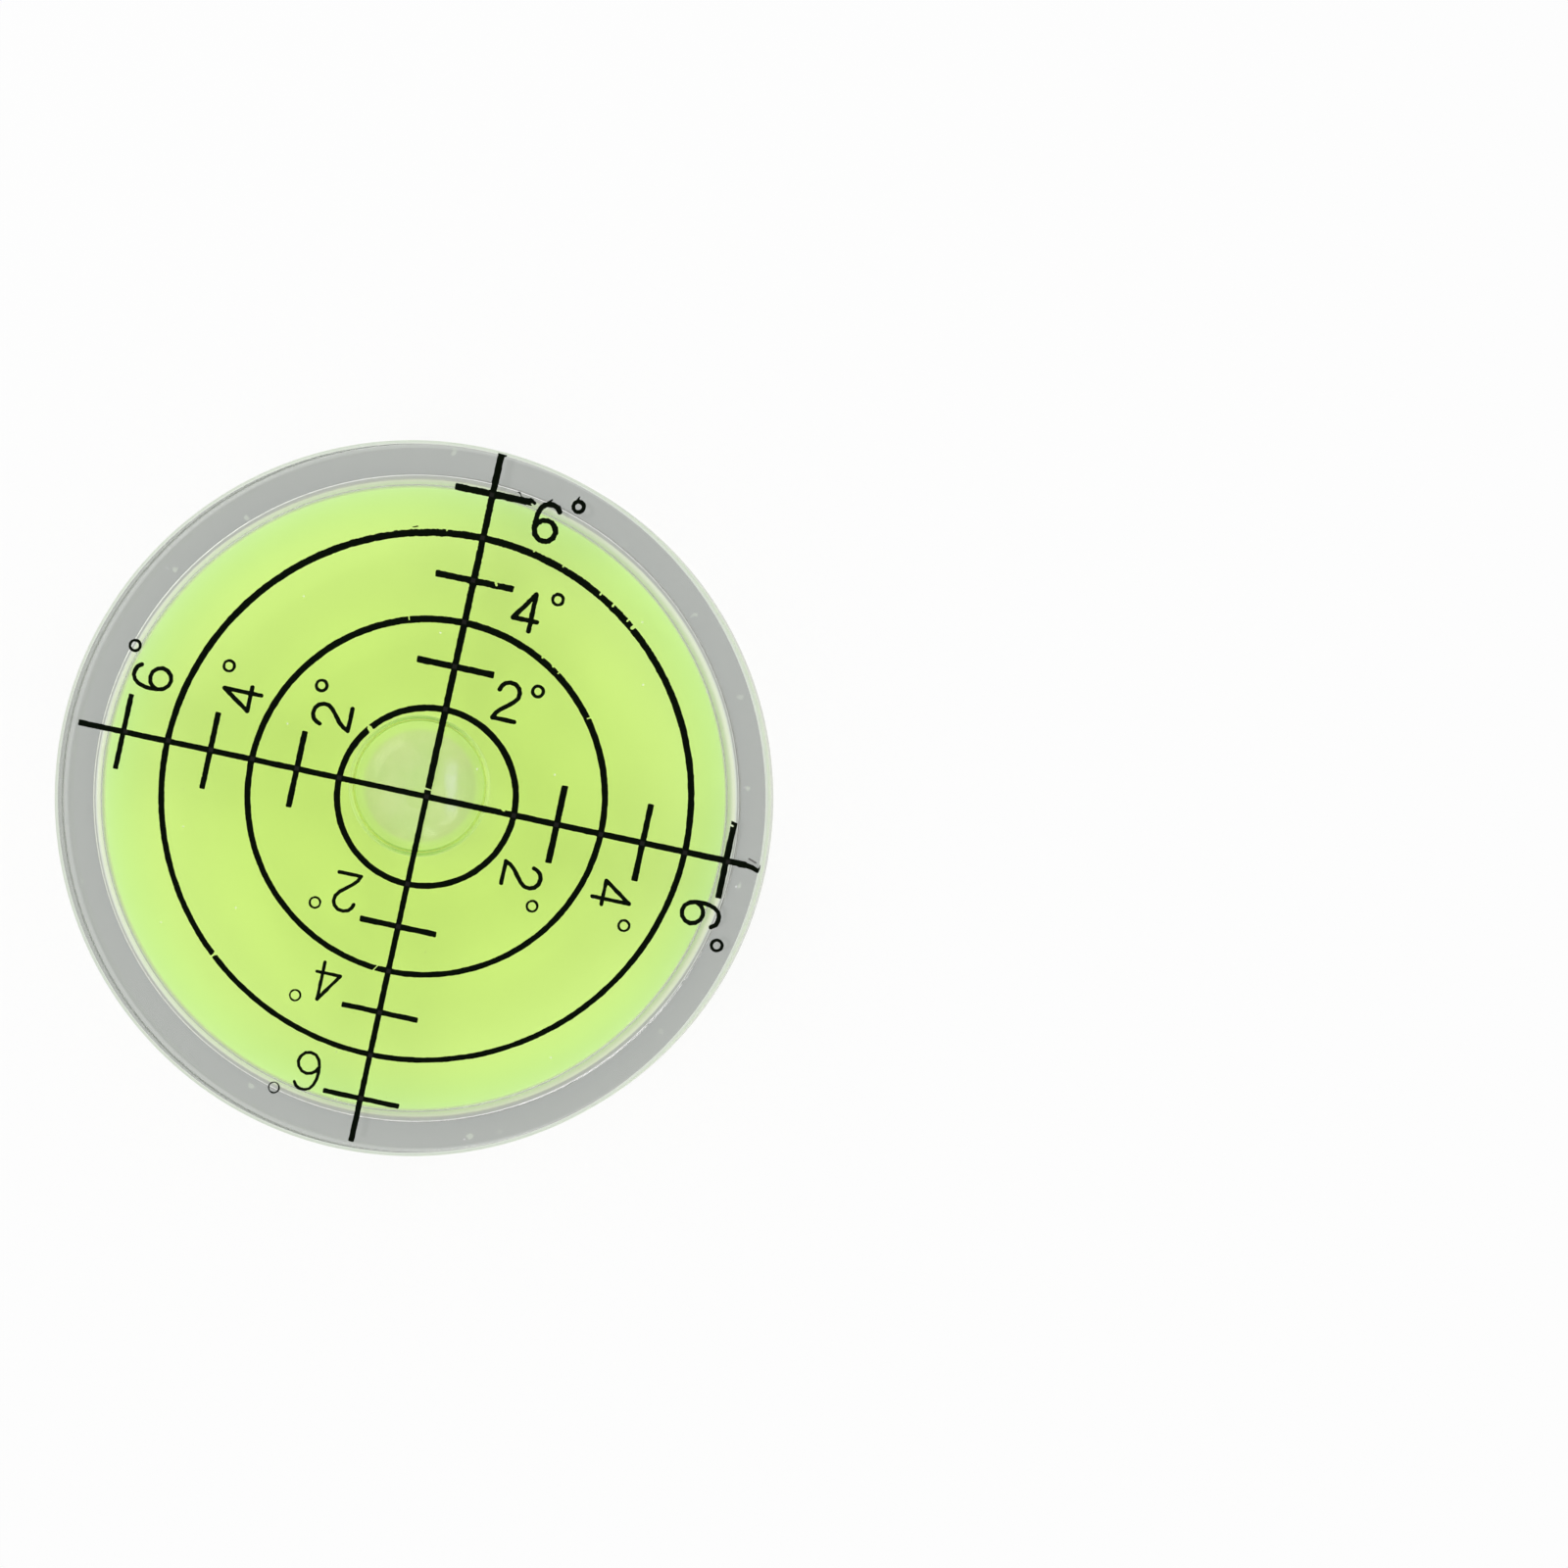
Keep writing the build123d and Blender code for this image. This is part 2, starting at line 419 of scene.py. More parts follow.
def clear_surface(tree, shader):
    """Lets lamps and diffuse light straight through a clear shader, so that what is inside is lit plainly."""
    path = add(tree, "LightPath")
    straight = calc(tree, "MAXIMUM", path.outputs["Is Shadow Ray"], path.outputs["Is Diffuse Ray"])
    passing = add(tree, "BsdfTransparent")
    mixed = add(tree, "MixShader", {0: straight, 1: shader.outputs[0], 2: passing.outputs[0]})
    return mixed.outputs[0]


def acrylic_material():
    """Clear polished acrylic with fine scratches and specks, a grey cast of painted shade and pale flecks at
    its foot, a painted highlight on its top edge, and painted shade on its outer wall and beside the plate.
    """
    made, tree, place = new_material("clear_acrylic")
    height = parts_of(tree, place)["Z"]
    radius = distance_from_axis(tree, place)

    # where on the cup: its foot, the rounded top edge, the outer wall below that, the wall beside the plate,
    # and what the fluid doesn't touch. The first four get painted shade or a painted highlight
    foot = zone(tree, height, 0.05, 0.2, 1.0, 0.0)
    edge = product(tree, zone(tree, radius, 32.64, 32.72), zone(tree, height, 10.5, 10.62))
    wall = product(tree, zone(tree, radius, 32.9, 32.96), zone(tree, height, 10.62, 10.5))
    mouth = product(tree, zone(tree, height, 0.14, 0.11), zone(tree, radius, 30.14, 30.11))
    dry = calc(tree, "MAXIMUM", zone(tree, radius, 29.02, 29.2), zone(tree, height, 9.0, 9.5))

    # milky specks on the top face, and ragged flecks on the foot, around some of the same random dots
    dots = texture_dots(tree, place, 160.0)
    chosen = parts_of(tree, dots["Color"])["X"]
    speck = product(
        tree,
        ramp(tree, dots["Distance"], 0.009, 0.02, 1.0, 0.0),
        ramp(tree, chosen, 0.6, 0.9, 0.0, 0.45),
        zone(tree, height, 10.9, 10.95),
    )
    ragged = calc(tree, "MULTIPLY_ADD", texture_noise(tree, place, 1500.0), 0.16, dots["Distance"])
    fleck = product(tree, ramp(tree, ragged, 0.1, 0.14, 1.0, 0.0), ramp(tree, chosen, 0.1, 0.6, 0.0, 0.8))

    # painted shade: the foot is grey where the shaded floor would show through the cup, a little lighter near
    # its outer rim
    grey = blend_colour(tree, texture_noise(tree, place, 60.0), *ACRYLIC_FOOT_SHADE)
    grey = blend_colour(tree, zone(tree, radius, 32.4, 32.7), grey, ACRYLIC_FOOT_RIM_SHADE)
    colour = blend_colour(tree, foot, ACRYLIC_CLEAR, grey)
    colour = blend_colour(tree, product(tree, fleck, foot), colour, ACRYLIC_FLECK)
    # painted highlight: a pale line on the rounded top edge
    colour = blend_colour(tree, edge, colour, ACRYLIC_TOP_EDGE_HIGHLIGHT)
    # painted shade: a grey cast on the outer wall, for the floor's shadow seen reflected in it
    colour = blend_colour(tree, wall, colour, ACRYLIC_OUTER_WALL_SHADE)
    # painted shade: dark grey on the wall beside the plate, where the space under the plate lies in shade
    colour = blend_colour(tree, mouth, colour, ACRYLIC_MOUTH_SHADE)

    # the top edge, the wall beside the plate and the specks let less light through, so that the painted
    # highlight and shade there show
    clear = calc(tree, "SUBTRACT", 1.0, product(tree, edge, 0.6))
    clear = calc(tree, "MINIMUM", clear, calc(tree, "SUBTRACT", 1.0, product(tree, mouth, 0.85)))
    clear = calc(tree, "SUBTRACT", clear, speck)
    scratches = texture_noise(tree, place, 900.0, 4.0)
    roughness = ramp(tree, scratches, 0.35, 0.75, 0.0, 0.05)
    roughness = calc(tree, "MAXIMUM", roughness, product(tree, edge, 0.5))
    roughness = calc(tree, "MAXIMUM", roughness, product(tree, wall, 0.2))
    shader = add(
        tree,
        "BsdfPrincipled",
        {
            "Base Color": colour,
            "Roughness": roughness,
            "IOR": 1.49,
            "Specular Tint": blend_colour(tree, dry, BLACK, WHITE),
            "Transmission Weight": clear,
            "Normal": bumps(tree, scratches, 0.05, 0.02),
        },
    )
    add(tree, "OutputMaterial", {"Surface": clear_surface(tree, shader)})
    return made


def fluid_material():
    """Lime green spirit, which takes blue and a little red out of light on the way through."""
    made, tree, place = new_material("green_fluid")
    from_bubble = seen_from(tree, place, *BUBBLE_CENTRE)
    out = distance_from_axis(tree, from_bubble)
    right, up = picture_axes(tree, from_bubble)
    height = parts_of(tree, place)["Z"]
    free = product(tree, zone(tree, out, 6.4, 6.6, 1.0, 0.0), zone(tree, height, 4.0, 4.2))

    # the surface on the cup and the plate, and the bubble's, which is hazy in the middle
    touching = blend_colour(tree, texture_noise(tree, place, 45.0), *FLUID_SURFACE)
    clouds = ramp(tree, texture_noise(tree, place, 260.0), 0.35, 0.65)
    hazy = blend_colour(tree, clouds, *BUBBLE_HAZE)
    hollow = blend_colour(tree, zone(tree, out, 4.9, 5.5), hazy, BUBBLE_SHOULDER)
    colour = blend_colour(tree, free, touching, hollow)

    # painted highlight and shade on the bubble's outline: bright at the sides and dark at the top and bottom
    outline = product(tree, zone(tree, out, 6.16, 6.22), free)
    rim_light_and_shade = blend_colour(tree, sidewardness(tree, right, out), *BUBBLE_RIM_HIGHLIGHT_AND_SHADE)
    colour = blend_colour(tree, outline, colour, rim_light_and_shade)

    # a painted reflection of a lamp: a pale streak to the right
    reflection_streak = product(
        tree,
        zone(tree, gap(tree, right, 2.9 * MM), 0.1, 0.9, 1.0, 0.0),
        free,
        zone(tree, gap(tree, up, -0.3 * MM), 1.2, 3.2, 1.0, 0.0),
        ramp(tree, texture_noise(tree, place, 700.0), 0.35, 0.65, 0.3, 1.0),
    )
    colour = blend_colour(tree, reflection_streak, colour, BUBBLE_PAINTED_REFLECTION)

    # the painted outline and streak let less light through, so that their colours show
    painted_light_share = calc(tree, "MAXIMUM", product(tree, outline, 0.35), product(tree, reflection_streak, 0.16))
    shader = add(
        tree,
        "BsdfPrincipled",
        {
            "Base Color": colour,
            "Roughness": product(tree, free, 0.12),
            "IOR": 1.37,
            "Specular Tint": blend_colour(tree, free, BLACK, WHITE),
            "Transmission Weight": calc(tree, "SUBTRACT", 1.0, painted_light_share),
        },
    )
    tint = add(tree, "VolumeAbsorption", {"Color": FLUID_TINT, "Density": FLUID_DENSITY})
    add(tree, "OutputMaterial", {"Surface": clear_surface(tree, shader), "Volume": tint.outputs[0]})
    return made


def opaque(tree, colour, roughness, ior, normal, specular=0.5):
    """Ends a material's tree with an opaque shader."""
    shader = add(
        tree,
        "BsdfPrincipled",
        {
            "Base Color": colour,
            "Roughness": roughness,
            "IOR": ior,
            "Specular IOR Level": specular,
            "Normal": normal,
        },
    )
    add(tree, "OutputMaterial", {"Surface": shader.outputs[0]})


def plate_material():
    """Satin moulded white plastic, cleaner on the face in the fluid than on the stained underside, which is
    tinted green by painted light from the fluid behind it; painted shade lies round the edge of its upper side.
    """
    made, tree, place = new_material("white_plastic")
    parts = parts_of(tree, place)
    height = parts["Z"]
    radius = distance_from_axis(tree, place)
    mottle = texture_noise(tree, place, 180.0)

    # the underside, tinted green by painted light that would shine through the fluid and the plate, paler
    # towards its edge, with yellow-green smears along the inner part of its outer raised band, most of them
    # towards +Y, and a few dark specks
    under = blend_colour(tree, mottle, *PLATE_UNDER_GREEN_GLOW)
    under = blend_colour(tree, zone(tree, radius, 25.8, 27.0), under, PLATE_UNDER_EDGE_GLOW)
    smear = product(
        tree,
        zone(tree, radius, 20.9, 21.6),
        zone(tree, radius, 22.6, 24.0, 1.0, 0.0),
        ramp(tree, calc(tree, "DIVIDE", parts["Y"], radius), 0.1, 0.8, 0.12, 0.6),
        ramp(tree, texture_noise(tree, place, 170.0, 5.0), 0.48, 0.62),
    )
    under = blend_colour(tree, smear, under, PLATE_SMEAR)
    speck = ramp(tree, texture_dots(tree, place, 55.0)["Distance"], 0.004, 0.01, 0.6, 0.0)
    under = blend_colour(tree, speck, under, PLATE_SPECK)

    # the upper side: in the fluid, then a darker band of painted shade under the cup just outside the fluid,
    # then paler at the sides of the picture
    right, _ = picture_axes(tree, place)
    sideways = sidewardness(tree, right, radius)
    wet = blend_colour(tree, zone(tree, radius, 24.0, 28.4), *PLATE_WET)
    outside = blend_colour(tree, sideways, *PLATE_OUTSIDE)
    band = blend_colour(tree, zone(tree, radius, 29.1, 29.55), PLATE_FLUID_EDGE_SHADE, outside)
    upper = blend_colour(tree, zone(tree, radius, 28.98, 29.04), wet, band)
    colour = blend_colour(tree, zone(tree, height, 2.1, 2.18), under, upper)

    # painted shade: a grey line round the rim of the upper side, where it meets the cup, narrower at the sides
    # of the picture
    inward = calc(tree, "MULTIPLY_ADD", sideways, -0.24 * MM, radius)
    rim = product(tree, zone(tree, inward, 29.48, 29.62), zone(tree, height, 1.6, 1.8))
    colour = blend_colour(tree, rim, colour, PLATE_RIM_SHADE)

    grain = texture_noise(tree, place, 2600.0, 2.0)
    opaque(tree, colour, ramp(tree, mottle, 0.3, 0.7, 0.34, 0.46), 1.5, bumps(tree, grain, 0.12, 0.03))
    return made


def seal_material():
    """Cured sealant, a little yellower and shinier than the plate, and green where it is in the fluid."""
    made, tree, place = new_material("sealant")
    mottle = texture_noise(tree, place, 500.0)
    wet = zone(tree, parts_of(tree, place)["Z"], 1.9, 2.1)
    colour = blend_colour(tree, wet, blend_colour(tree, mottle, *SEALANT), SEALANT_WET)
    opaque(tree, colour, ramp(tree, mottle, 0.3, 0.7, 0.2, 0.34), 1.45, bumps(tree, mottle, 0.25, 0.05))
    return made


def ink_material():
    """Black screen-printed ink, a little uneven, greyer where lines cross and where it is smeared."""
    made, tree, place = new_material("black_ink")
    patches = texture_noise(tree, place, 700.0)
    from_middle = seen_from(tree, place, *PRINT_CENTRE)
    thin_place, thin_radius = THIN_INK
    off_smear = distance_from_axis(tree, seen_from(tree, from_middle, *thin_place))
    smeared = zone(tree, off_smear, 0.8 * thin_radius, thin_radius, 1.0, 0.0)

    # a small square on each crossing of the cross
    parts = parts_of(tree, from_middle)
    across, upward = calc(tree, "ABSOLUTE", parts["X"]), calc(tree, "ABSOLUTE", parts["Y"])
    beside = calc(tree, "MINIMUM", across, upward)
    along = calc(tree, "MAXIMUM", across, upward)
    gaps = [gap(tree, along, radius * MM) for radius in CROSSINGS]
    nearest = gaps[0]
    for other in gaps[1:]:
        nearest = calc(tree, "MINIMUM", nearest, other)
    crossed = zone(tree, calc(tree, "MAXIMUM", beside, nearest), 0.14, 0.26, 1.0, 0.0)

    colour = blend_colour(tree, patches, *INK)
    colour = blend_colour(tree, crossed, colour, INK_CROSSED)
    colour = blend_colour(tree, smeared, colour, INK_SMEARED)
    roughness = ramp(tree, patches, 0.3, 0.7, 0.35, 0.6)
    opaque(tree, colour, roughness, 1.4, bumps(tree, patches, 0.3, 0.01), specular=0.02)
    return made


def placed(name, data):
    """A new object in the scene with this data."""
    made = bpy.data.objects.new(name, data)
    bpy.context.scene.collection.objects.link(made)
    return made


def finished(name, bm):
    """An object for this mesh, which was made in millimetres."""
    mesh = bpy.data.meshes.new(name)
    bm.to_mesh(mesh)
    bm.free()
    mesh.transform(Matrix.Scale(MM, 4))
    return placed(name, mesh)


def arc(centre, radii, start, end, steps):
    """Points on part of an ellipse, in degrees from the first axis."""
    turns = [math.radians(start + (end - start) * k / steps) for k in range(steps + 1)]
    return [(centre[0] + radii[0] * math.cos(t), centre[1] + radii[1] * math.sin(t)) for t in turns]


def turn_line(bm, line, centre=(0.0, 0.0), turns=TURNS):
    """Turns a line of (radius, height) points round an upright axis. Going outwards, its faces look up."""
    rings = []
    x, y = centre
    for radius, height in line:
        count = turns if radius > 1e-6 else 1
        angles = [math.tau * k / turns for k in range(count)]
        places = [(x + radius * math.cos(a), y + radius * math.sin(a), height) for a in angles]
        rings.append([bm.verts.new(place) for place in places])
    for near, far in zip(rings, rings[1:]):
        for k in range(turns):
            after = k + 1
            corners = (near[k % len(near)], far[k % len(far)], far[after % len(far)], near[after % len(near)])
            bm.faces.new(dict.fromkeys(corners))
    return [vert for ring in rings for vert in ring]


def smooth_turning(piece):
    """Smooth faces with true normals, and sharp edges where the turned line has a corner."""
    mesh = piece.data
    mesh.shade_smooth()
    mesh.set_sharp_from_angle(angle=SHARP_BEND)
    weighted = piece.modifiers.new("true_normals", "WEIGHTED_NORMAL")
    weighted.keep_sharp = True
    return piece


def cavity_line(growth, floor):
    """The cavity's line, grown by so much: roof, rounded corner, and the wall down to this floor."""
    middle = CAVITY_RADIUS - CORNER_ROUND
    corner = (middle, ROOF_CENTRE + math.sqrt((ROOF_RADIUS - CORNER_ROUND) ** 2 - middle**2))
    lean = math.degrees(math.atan2(corner[1] - ROOF_CENTRE, middle))
    roof = (ROOF_RADIUS + growth, ROOF_RADIUS + growth)
    bend = (CORNER_ROUND + growth, CORNER_ROUND + growth)
    line = arc((0.0, ROOF_CENTRE), roof, 90, lean, ROOF_STEPS)
    line[0] = (0.0, ROOF_TOP + growth)
    line += arc(corner, bend, lean, 0, CORNER_STEPS)[1:]
    return [*line, (CAVITY_RADIUS + growth, floor)]


def turned_cup():
    """The clear cup, turned finely enough for its edges to bend light evenly."""
    flat, top_round = BODY_RADIUS - EDGE_ROUND, TOP - EDGE_ROUND
    bend = (EDGE_ROUND, EDGE_ROUND)
    line = [(0.0, TOP)]
    line += arc((flat, top_round), bend, 90, 0, EDGE_STEPS)
    line += arc((flat, EDGE_ROUND), bend, 0, -90, EDGE_STEPS)
    line += [
        (SEAT_RADIUS + MOUTH_CHAMFER, 0.0),
        (SEAT_RADIUS, MOUTH_CHAMFER),
        (SEAT_RADIUS, LEDGE + CUP_GAP),
    ]
    line += reversed(cavity_line(0.0, LEDGE + CUP_GAP))
    bm = bmesh.new()
    turn_line(bm, line)
    return smooth_turning(finished("cup", bm))


def turned_fluid():
    """The fluid, biting a little into what closes round it, with the bubble's hollow under the roof."""
    bm = bmesh.new()
    turn_line(bm, [*cavity_line(FLUID_BITE, LEDGE - FLUID_BITE), (0.0, LEDGE - FLUID_BITE)])
    line = [(0.0, BUBBLE_EQUATOR - BUBBLE_DROP)]
    bend = (BUBBLE_RADIUS - BUBBLE_FLAT_RADIUS, BUBBLE_DROP)
    line += arc((BUBBLE_FLAT_RADIUS, BUBBLE_EQUATOR), bend, -90, 0, UNDERSIDE_STEPS)
    shoulder = (BUBBLE_RADIUS - BUBBLE_TOP_RADIUS, ROOF_TOP - BUBBLE_EQUATOR)
    line += arc((BUBBLE_TOP_RADIUS, BUBBLE_EQUATOR), shoulder, 0, 90, SHOULDER_STEPS)[1:]
    line += [(BUBBLE_TOP_RADIUS * share, ROOF_TOP) for share in (0.75, 0.5, 0.25, 0.0)]
    for vert in turn_line(bm, line, BUBBLE_CENTRE, BUBBLE_TURNS):
        roof = ROOF_CENTRE + math.sqrt(ROOF_RADIUS**2 - vert.co.x**2 - vert.co.y**2)
        vert.co.z = min(vert.co.z, roof - BUBBLE_FILM)
    return smooth_turning(finished("fluid", bm))


def stroke_distance(x, y, points):
    """Distance from each place in the grid to a stroke's centre line."""
    nearest = np.full(x.shape, np.inf)
    for (ax, ay), (bx, by) in zip(points, points[1:]):
        dx, dy = bx - ax, by - ay
        along = np.clip(((x - ax) * dx + (y - ay) * dy) / (dx * dx + dy * dy), 0.0, 1.0)
        nearest = np.minimum(nearest, np.hypot(x - ax - along * dx, y - ay - along * dy))
    return nearest


def outline_loops(x, y, field):
    """The closed loops on which the field is zero, by marching squares. Below zero is in the ink."""
    inside = field < 0
    onward, place = {}, {}

    def crossing(a, b):
        """Notes where the loop passes between two neighbouring places."""
        key = (min(a, b), max(a, b))
        share = field[a] / (field[a] - field[b])
        place[key] = (x[a] + share * (x[b] - x[a]), y[a] + share * (y[b] - y[a]))
        return key

    mixed = inside[:-1, :-1].astype(int) + inside[1:, :-1] + inside[:-1, 1:] + inside[1:, 1:]
    for i, j in zip(*np.nonzero((mixed > 0) & (mixed < 4))):
        corners = [(i, j), (i, j + 1), (i + 1, j + 1), (i + 1, j)]
        leaving, entering = [], []
        for a, b in zip(corners, corners[1:] + corners[:1]):
            if inside[a] != inside[b]:
                (leaving if inside[a] else entering).append(crossing(a, b))
        for out, back in zip(leaving, entering if len(entering) == 1 else entering[::-1]):
            onward[out] = back
    loops = []
    while onward:
        start = next(iter(onward))
        loop, at = [], start
        while at in onward:
            loop.append(place[at])
            at = onward.pop(at)
        if at == start and len(loop) > SPECK_POINTS:
            loops.append(loop)
    return loops


def worn(grid, spacing, amount, seed):
    """Smooth random values over a grid of this many places, from minus to plus the amount."""
    count = grid // spacing + 2
    coarse = np.random.default_rng(seed).uniform(-amount, amount, (count, count))
    at = np.arange(grid) / spacing
    low = at.astype(int)
    share = at - low
    share = share * share * (3 - 2 * share)
    rows = coarse[low] * (1 - share)[:, None] + coarse[low + 1] * share[:, None]
    return rows[:, low] * (1 - share) + rows[:, low + 1] * share


def along_arm(turn, right, out):
    """A place beside an arm in the print's coordinates."""
    cos, sin = round(math.cos(math.radians(turn))), round(math.sin(math.radians(turn)))
    return out * cos + right * sin, out * sin - right * cos


def bar_distance(x, y, low, high):
    """Distance from each place in the grid to an upright box with round corners, below zero inside."""
    centre = [(a + b) / 2 for a, b in zip(low, high)]
    half = [abs(b - a) / 2 - BAR_ROUND for a, b in zip(low, high)]
    across, up = np.abs(x - centre[0]) - half[0], np.abs(y - centre[1]) - half[1]
    outside = np.hypot(np.maximum(across, 0), np.maximum(up, 0))
    return outside + np.minimum(np.maximum(across, up), 0) - BAR_ROUND


def print_field(x, y):
    """How far each place in the grid is from the ink's edge, below zero in the ink, with its wear."""
    # 9 stands for far from any ink
    field = np.full(x.shape, 9.0)
    step, corner = x[1, 0] - x[0, 0], (x[0, 0], y[0, 0])

    def window(points, reach):
        """The part of the grid round these points."""
        spans = []
        for axis in (0, 1):
            values = [point[axis] for point in points]
            first = int((min(values) - reach - corner[axis]) / step)
            last = int((max(values) + reach - corner[axis]) / step) + 2
            spans.append(slice(max(first, 0), last))
        return tuple(spans)

    def stroke(points, width):
        """A line of ink through these points."""
        part = window(points, width)
        near = stroke_distance(x[part], y[part], points) - width / 2
        field[part] = np.minimum(field[part], near)

    def bar(a, b):
        """A bar of ink between two opposite corners."""
        part = window((a, b), BAR_MARGIN)
        field[part] = np.minimum(field[part], bar_distance(x[part], y[part], a, b))

    twice = 2 * np.arctan2(y, x)
    oval = 1 + RING_OVAL[0] * np.cos(twice) + RING_OVAL[1] * np.sin(twice)
    for radius, right, up in RINGS:
        field = np.minimum(field, np.abs(np.hypot(x - right, y - up) - radius * oval) - LINE_WIDTH / 2)
    field -= INK_GAIN / 2 * y
    for arm in ARMS:
        turn, half = arm["turn"], arm["width"] / 2
        bar(along_arm(turn, -half, ARM_START), along_arm(turn, half, arm["end"]))
        for out, width, left, right in arm["bars"]:
            bar(along_arm(turn, left, out - width / 2), along_arm(turn, right, out + width / 2))
        for digit, right, out, width in arm["numerals"]:
            for line in STROKES[digit]:
                stroke([along_arm(turn, right + a, out + b) for a, b in line], width)
        for right, out, width in arm["signs"]:
            turns = [k * math.tau / SIGN_SIDES for k in range(SIGN_SIDES + 1)]
            ring = [(right + SIGN_RADIUS * math.cos(t), out + SIGN_RADIUS * math.sin(t)) for t in turns]
            stroke([along_arm(turn, a, b) for a, b in ring], width)
    for start, end, width in BLOTS:
        stroke([start, end], width)
    size = x.shape[0]
    field += sum(worn(size, *wear) for wear in EDGE_WEAR)
    upper = np.clip((y - UPPER_WEAR_FROM) / UPPER_WEAR_OVER, 0.0, 1.0)
    field += upper * worn(size, *UPPER_WEAR)
    for start, end, width in NICKS:
        part = window([start, end], width)
        field[part] = np.maximum(field[part], width / 2 - stroke_distance(x[part], y[part], [start, end]))
    return field


def fewer(loop):
    """The loop without the points that lie within the slack of the line between those that stay."""
    kept = [0]
    points = np.array([*loop, loop[0]])
    last = len(loop)
    while kept[-1] < last:
        start = kept[-1]
        reach = min(start + OUTLINE_STEPS, last)
        while reach > start + 1:
            line = points[reach] - points[start]
            between = points[start + 1 : reach] - points[start]
            off = np.abs(between[:, 0] * line[1] - between[:, 1] * line[0]) / max(np.hypot(*line), 1e-9)
            if off.max() < OUTLINE_SLACK:
                break
            reach -= 1
        kept.append(reach)
    return points[kept[:-1]]


def on_face(x, y):
    """Where a place in the print lies on the top face."""
    return x + PRINT_SKEW[0] * y + PRINT_CENTRE[0], y + PRINT_SKEW[1] * x + PRINT_CENTRE[1]


def printed_dial():
    """The worn print as one thin film of ink on the top face."""
    places = np.arange(-PRINT_REACH, PRINT_REACH, PRINT_CELL)
    x, y = np.meshgrid(places, places, indexing="ij")
    field = np.maximum(print_field(x, y), np.hypot(*on_face(x, y)) - PRINT_LIMIT)

    # triangles between the outlines of the ink
    corners, borders = [], []
    for loop in outline_loops(x, y, field):
        loop = fewer(loop)
        if len(loop) <= SLIVER_POINTS:
            continue
        first = len(corners)
        corners += [Vector(at) for at in loop]
        borders += [(first + k, first + (k + 1) % len(loop)) for k in range(len(loop))]
    corners, _, triangles, *_ = delaunay_2d_cdt(corners, borders, [], 0, 1e-6)

    # those with ink in their middle become the film's top
    middles = np.array([sum((corners[k] for k in three), Vector((0, 0))) / 3 for three in triangles])
    cells = ((middles + PRINT_REACH) / PRINT_CELL).T
    low = cells.astype(int)
    a, b = cells - low
    i, j = low
    near = field[i, j] * (1 - a) + field[i + 1, j] * a
    far = field[i, j + 1] * (1 - a) + field[i + 1, j + 1] * a
    level = near * (1 - b) + far * b
    bm = bmesh.new()
    verts = [bm.verts.new((*on_face(*corner), TOP)) for corner in corners]
    faces = [bm.faces.new([verts[k] for k in triangles[t]]) for t in np.nonzero(level < 0)[0]]
    bmesh.ops.delete(bm, geom=[vert for vert in bm.verts if not vert.link_faces], context="VERTS")
    raised = bmesh.ops.extrude_face_region(bm, geom=faces, use_keep_orig=True)
    for part in raised["geom"]:
        if isinstance(part, bmesh.types.BMVert):
            part.co.z += INK_THICKNESS
    bmesh.ops.recalc_face_normals(bm, faces=bm.faces)
    return finished("dial", bm)


def dress(piece, material):
    """Gives the whole piece one material."""
    piece.data.materials.clear()
    piece.data.materials.append(material)


def place_camera():
    """The camera where the photograph was taken from."""
    right = Vector((math.cos(SHOT_ROLL), math.sin(SHOT_ROLL), 0))
    up = Vector((-right.y, right.x, 0))
    middle = Vector((0, 0, TOP))

    def spot(offset):
        return (middle + right * offset[0] + up * offset[1] + Vector((0, 0, offset[2]))) * MM

    place, aim = spot(SHOT_PLACE), spot(SHOT_AIM)
    back = (place - aim).normalized()
    side = (right - back * right.dot(back)).normalized()
    data = bpy.data.cameras.new("camera")
    data.sensor_width = SENSOR
    data.lens = SENSOR * (place - aim).length / (SHOT_WIDTH * MM)
    data.clip_start, data.clip_end = 0.01, 10.0
    camera = placed("camera", data)
    turn = Matrix((side, back.cross(side), back)).transposed().to_4x4()
    camera.matrix_world = Matrix.Translation(place) @ turn
    bpy.context.scene.camera = camera


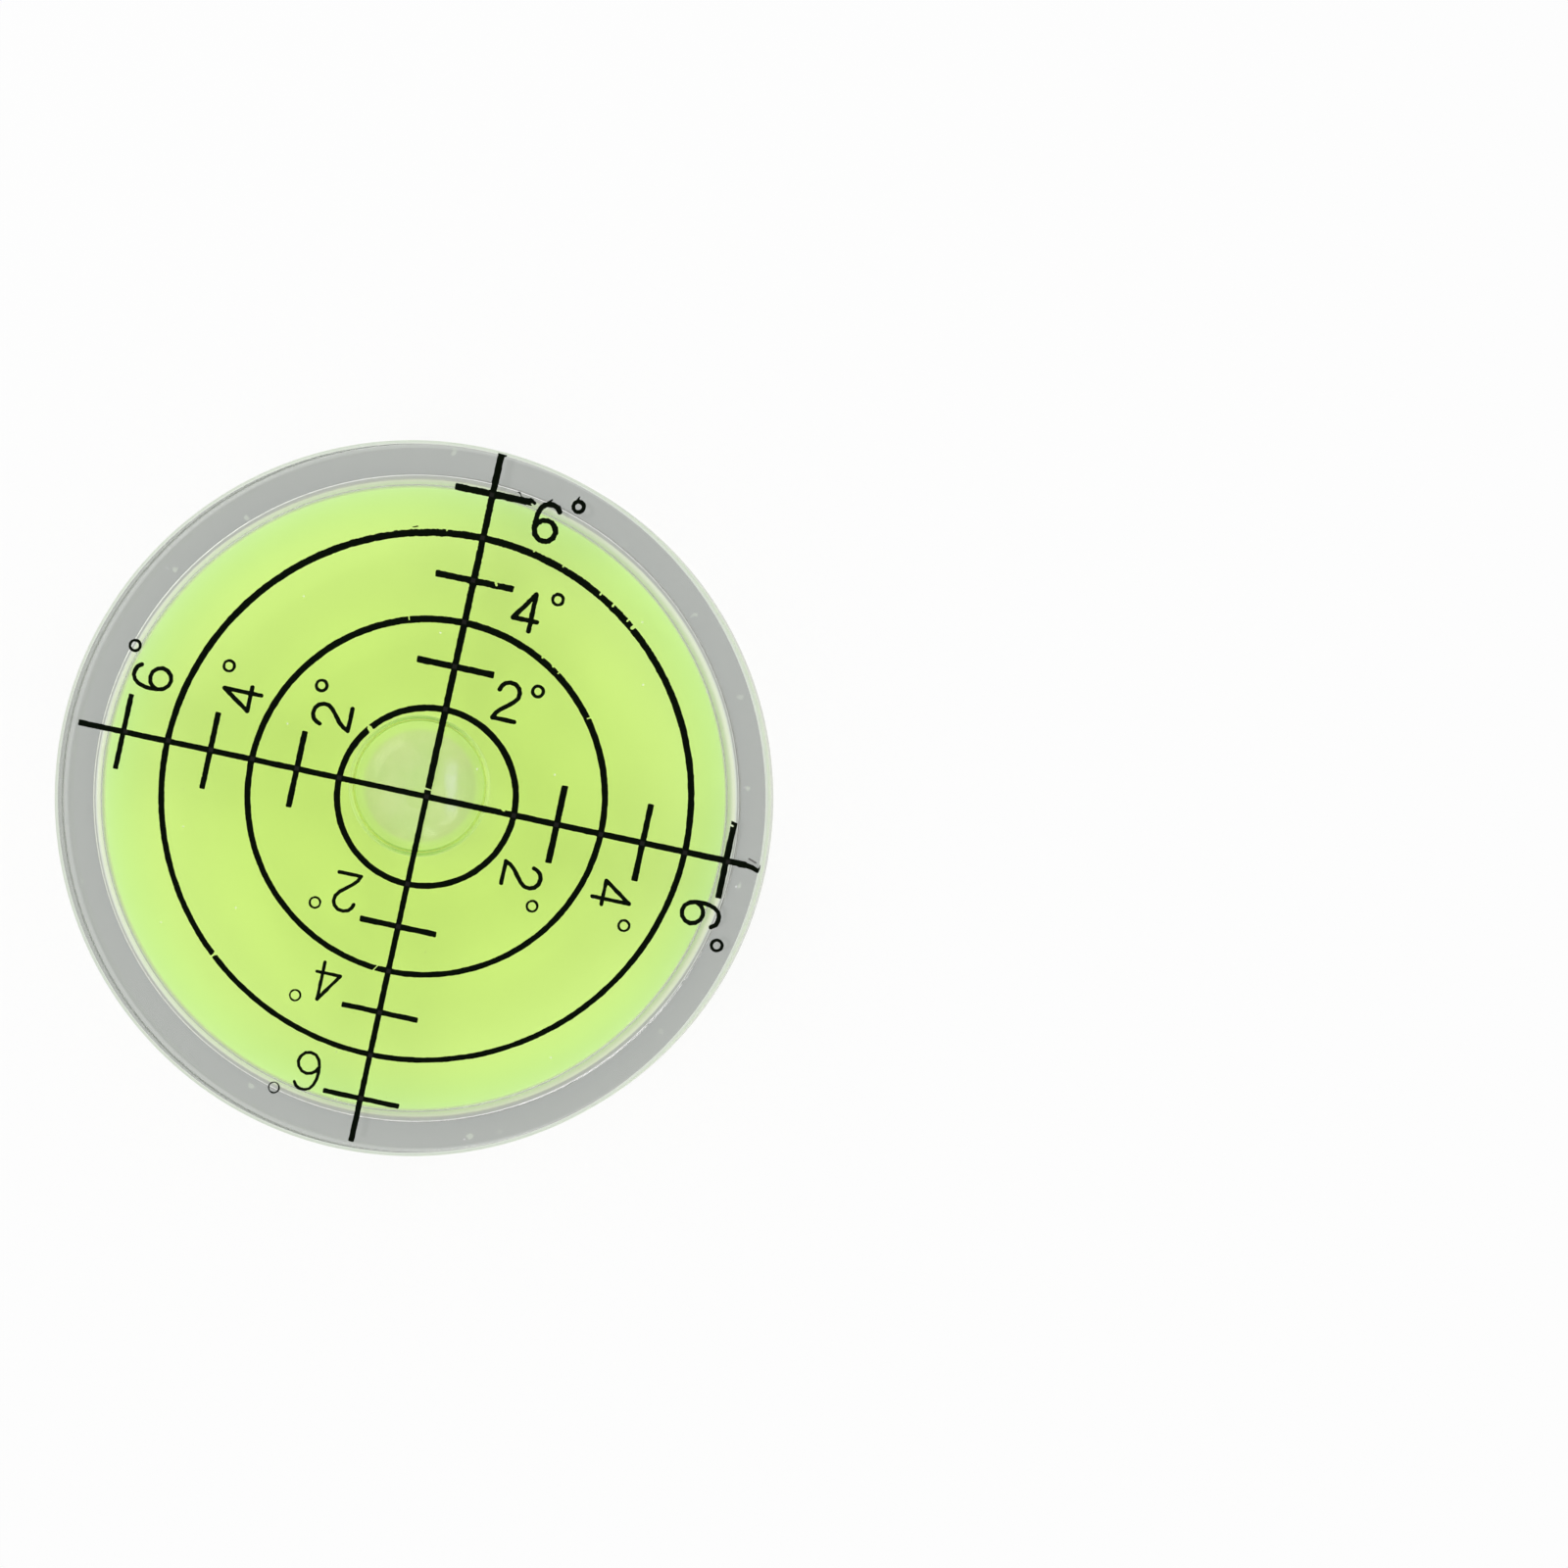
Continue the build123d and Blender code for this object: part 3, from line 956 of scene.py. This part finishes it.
def seen_directly(tree):
    """1 for what the camera sees, also in a reflection or through glass."""
    path = add(tree, "LightPath")
    both = calc(tree, "MAXIMUM", path.outputs["Is Camera Ray"], path.outputs["Is Glossy Ray"])
    return calc(tree, "MAXIMUM", both, path.outputs["Is Transmission Ray"])


def set_studio():
    """A pale floor, two soft lamps overhead and even light all round."""
    bpy.ops.mesh.primitive_plane_add(size=FLOOR_WIDTH, location=(0, 0, -FLOOR_DROP))
    floor = bpy.context.object
    floor.name = "floor"
    made = bpy.data.materials.new("floor")
    tree = emptied(made)
    lit = add(tree, "BsdfDiffuse", {"Color": FLOOR_GREY})
    white = add(tree, "Emission", {"Color": WHITE, "Strength": 1.0})
    share = product(tree, seen_directly(tree), FLOOR_WHITENESS)
    mixed = add(tree, "MixShader", {0: share, 1: lit.outputs[0], 2: white.outputs[0]})
    add(tree, "OutputMaterial", {"Surface": mixed.outputs[0]})
    dress(floor, made)

    world = bpy.data.worlds.new("studio")
    bpy.context.scene.world = world
    tree = emptied(world)
    fill = add(tree, "Background", {"Color": WHITE, "Strength": FILL_STRENGTH})
    shown = add(tree, "Background", {"Color": WHITE, "Strength": 1.0})
    mixed = add(tree, "MixShader", {0: seen_directly(tree), 1: fill.outputs[0], 2: shown.outputs[0]})
    add(tree, "OutputWorld", {"Surface": mixed.outputs[0]})

    for name, place, power in LAMPS:
        lamp = bpy.data.lights.new(name, "AREA")
        lamp.shape, lamp.size, lamp.energy = "SQUARE", LAMP_WIDTH, power
        box = placed(name, lamp)
        box.location = place
        box.rotation_euler = (-box.location).to_track_quat("-Z", "Y").to_euler()


bpy.context.scene.view_settings.view_transform = "Standard"
place_camera()
set_studio()

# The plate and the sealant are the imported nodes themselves, with their looks
dress(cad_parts["base_plate"], plate_material())
dress(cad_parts["filler_seal"], seal_material())

# The cup and the fluid are turned again, because clear material shows every facet, and the print has its wear
cup = turned_cup()
dress(cup, acrylic_material())
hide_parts("vial_body")
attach(cup, "root")

fluid = turned_fluid()
dress(fluid, fluid_material())
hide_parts("level_fluid")
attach(fluid, "root")

dial = printed_dial()
dress(dial, ink_material())
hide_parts("reticle_print")
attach(dial, "root")
